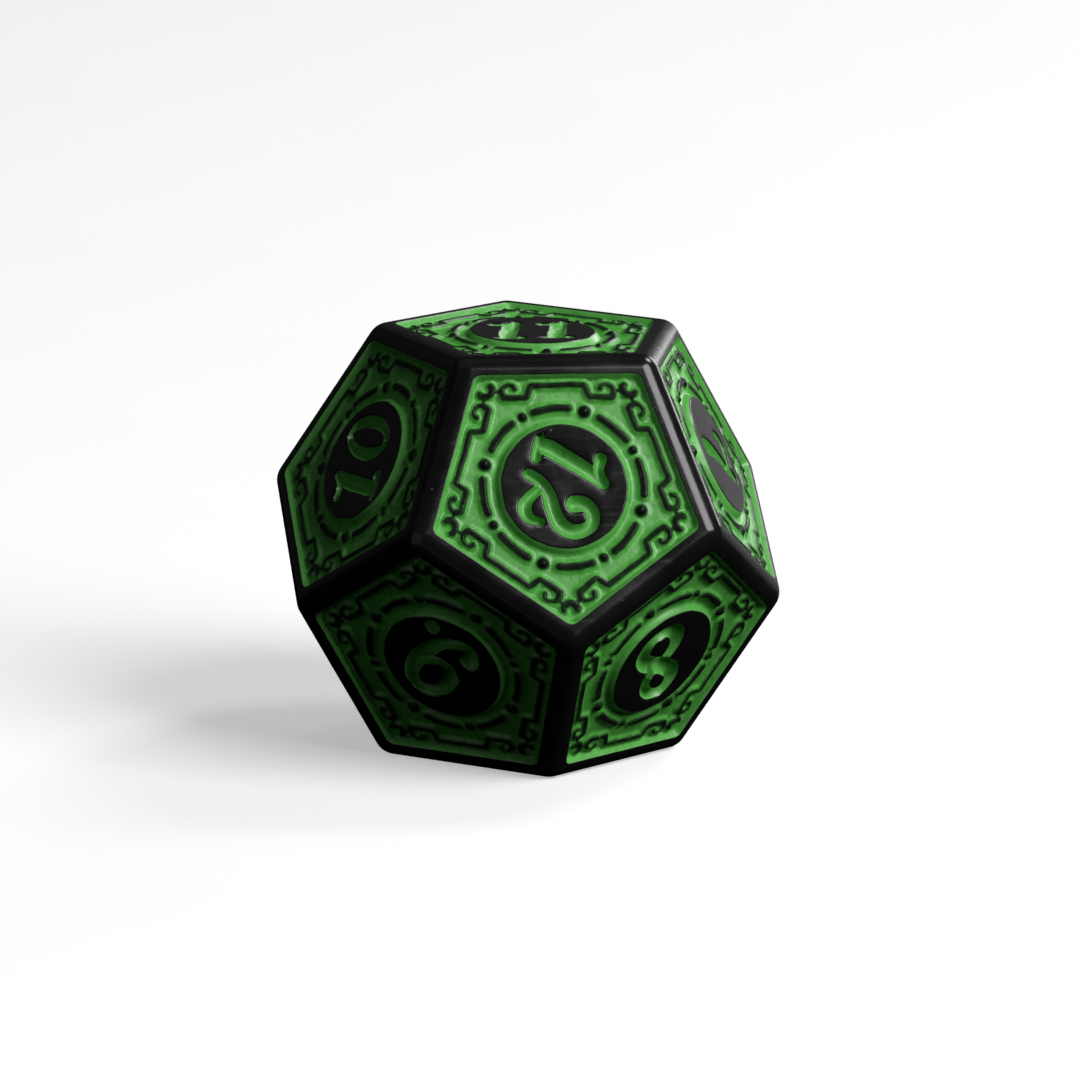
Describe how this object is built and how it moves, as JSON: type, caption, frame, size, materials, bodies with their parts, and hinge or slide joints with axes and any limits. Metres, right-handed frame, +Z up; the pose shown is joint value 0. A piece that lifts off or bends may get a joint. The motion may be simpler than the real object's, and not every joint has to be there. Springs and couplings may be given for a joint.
{
  "type": "polyhedral die",
  "caption": "Twelve-sided gaming die, black moulded dodecahedron with rounded edges, carved meander panels and engraved numerals filled with green paint.",
  "frame": {"origin": "middle of the face the die rests on (face 2), on the table's surface", "axes": "+Z up through face 11; face 12 leans towards -Y; face 7 is on the +X side and face 10 on the -X side"},
  "size_m": [0.022, 0.023, 0.019],
  "materials": {
    "black_plastic": "glossy black opaque resin, tumbled and polished",
    "green_paint": "hand-applied enamel ink, glossy and slightly uneven"
  },
  "bodies": {
    "root": {"die_body": "black_plastic", "panel_paint_01": "green_paint", "numeral_paint_01": "green_paint", "panel_paint_02": "green_paint", "numeral_paint_02": "green_paint", "panel_paint_03": "green_paint", "numeral_paint_03": "green_paint", "panel_paint_04": "green_paint", "numeral_paint_04": "green_paint", "panel_paint_05": "green_paint", "numeral_paint_05": "green_paint", "panel_paint_06": "green_paint", "numeral_paint_06": "green_paint", "panel_paint_07": "green_paint", "numeral_paint_07": "green_paint", "panel_paint_08": "green_paint", "numeral_paint_08": "green_paint", "panel_paint_09": "green_paint", "numeral_paint_09": "green_paint", "panel_paint_10": "green_paint", "numeral_paint_10": "green_paint", "panel_paint_11": "green_paint", "numeral_paint_11": "green_paint", "panel_paint_12": "green_paint", "numeral_paint_12": "green_paint"}
  },
  "joints": []
}
